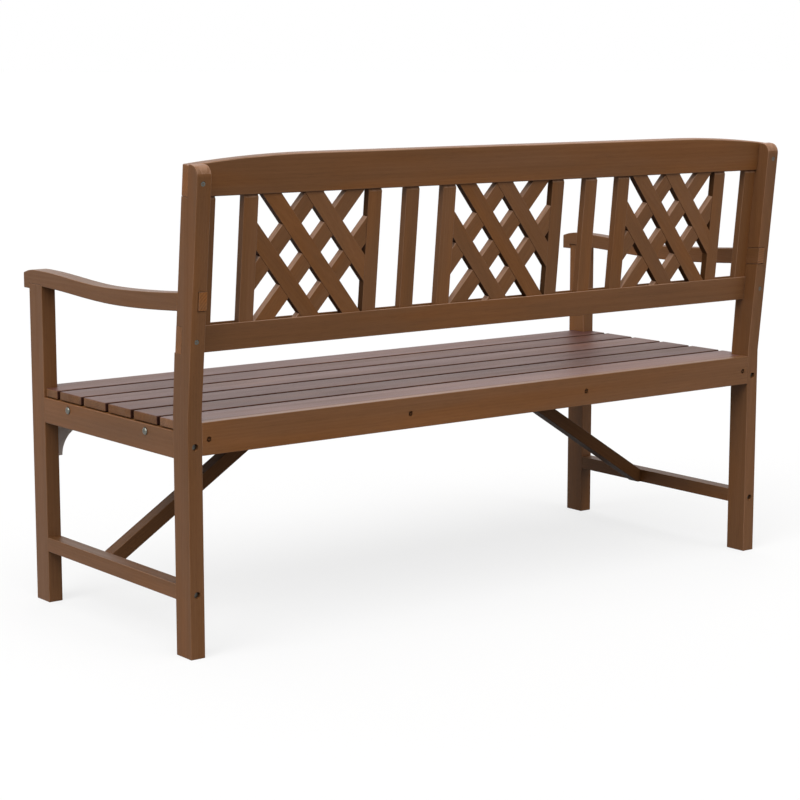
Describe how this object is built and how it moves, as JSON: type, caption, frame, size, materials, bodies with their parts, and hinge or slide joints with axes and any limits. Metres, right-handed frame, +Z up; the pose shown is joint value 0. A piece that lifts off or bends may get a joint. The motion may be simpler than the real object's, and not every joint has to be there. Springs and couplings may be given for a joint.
{
  "type": "garden bench",
  "caption": "Stained wooden garden bench with wavy arms, a slatted seat, diagonal braces and a raked back of slats and lattice panels between an arched top rail and a lower rail.",
  "frame": {"origin": "on the ground under the middle of the bench's bounding box", "axes": "+X along the bench to the sitter's left, -Y to the front, +Z up"},
  "size_m": [1.468, 0.6455, 0.9101],
  "materials": {
    "frame_timber": "satin brown stain",
    "seat_timber": "satin brown stain",
    "back_timber": "satin brown stain",
    "lattice_timber": "satin brown stain",
    "zinc_steel": "bright zinc plate"
  },
  "bodies": {
    "root": {"front_leg_left": "frame_timber", "front_leg_right": "frame_timber", "rear_post_left": "frame_timber", "rear_post_right": "frame_timber", "armrest_left": "frame_timber", "armrest_right": "frame_timber", "side_apron_left": "frame_timber", "side_apron_right": "frame_timber", "side_stretcher_left": "frame_timber", "side_stretcher_right": "frame_timber", "brace_left": "frame_timber", "brace_right": "frame_timber", "corner_bracket_left": "frame_timber", "corner_bracket_right": "frame_timber", "front_apron": "frame_timber", "rear_apron": "frame_timber", "end_bearer_left": "frame_timber", "end_bearer_right": "frame_timber", "middle_bearer_left": "frame_timber", "middle_bearer_right": "frame_timber", "seat_slat_1": "seat_timber", "seat_slat_2": "seat_timber", "seat_slat_3": "seat_timber", "seat_slat_4": "seat_timber", "seat_slat_5": "seat_timber", "seat_slat_6": "seat_timber", "top_rail": "frame_timber", "lower_back_rail": "frame_timber", "back_end_slat_left": "back_timber", "back_end_slat_right": "back_timber", "back_stile_1": "back_timber", "back_stile_2": "back_timber", "back_stile_3": "back_timber", "back_stile_4": "back_timber", "back_stile_5": "back_timber", "back_stile_6": "back_timber", "back_slat_left": "back_timber", "back_slat_right": "back_timber", "lattice_left_rear_1": "lattice_timber", "lattice_left_rear_2": "lattice_timber", "lattice_left_rear_3": "lattice_timber", "lattice_left_front_1": "lattice_timber", "lattice_left_front_2": "lattice_timber", "lattice_left_front_3": "lattice_timber", "lattice_middle_rear_1": "lattice_timber", "lattice_middle_rear_2": "lattice_timber", "lattice_middle_rear_3": "lattice_timber", "lattice_middle_front_1": "lattice_timber", "lattice_middle_front_2": "lattice_timber", "lattice_middle_front_3": "lattice_timber", "lattice_right_rear_1": "lattice_timber", "lattice_right_rear_2": "lattice_timber", "lattice_right_rear_3": "lattice_timber", "lattice_right_front_1": "lattice_timber", "lattice_right_front_2": "lattice_timber", "lattice_right_front_3": "lattice_timber", "side_bolts": "zinc_steel", "leg_bolts": "zinc_steel", "back_screws": "zinc_steel", "apron_screws": "zinc_steel"}
  },
  "joints": []
}
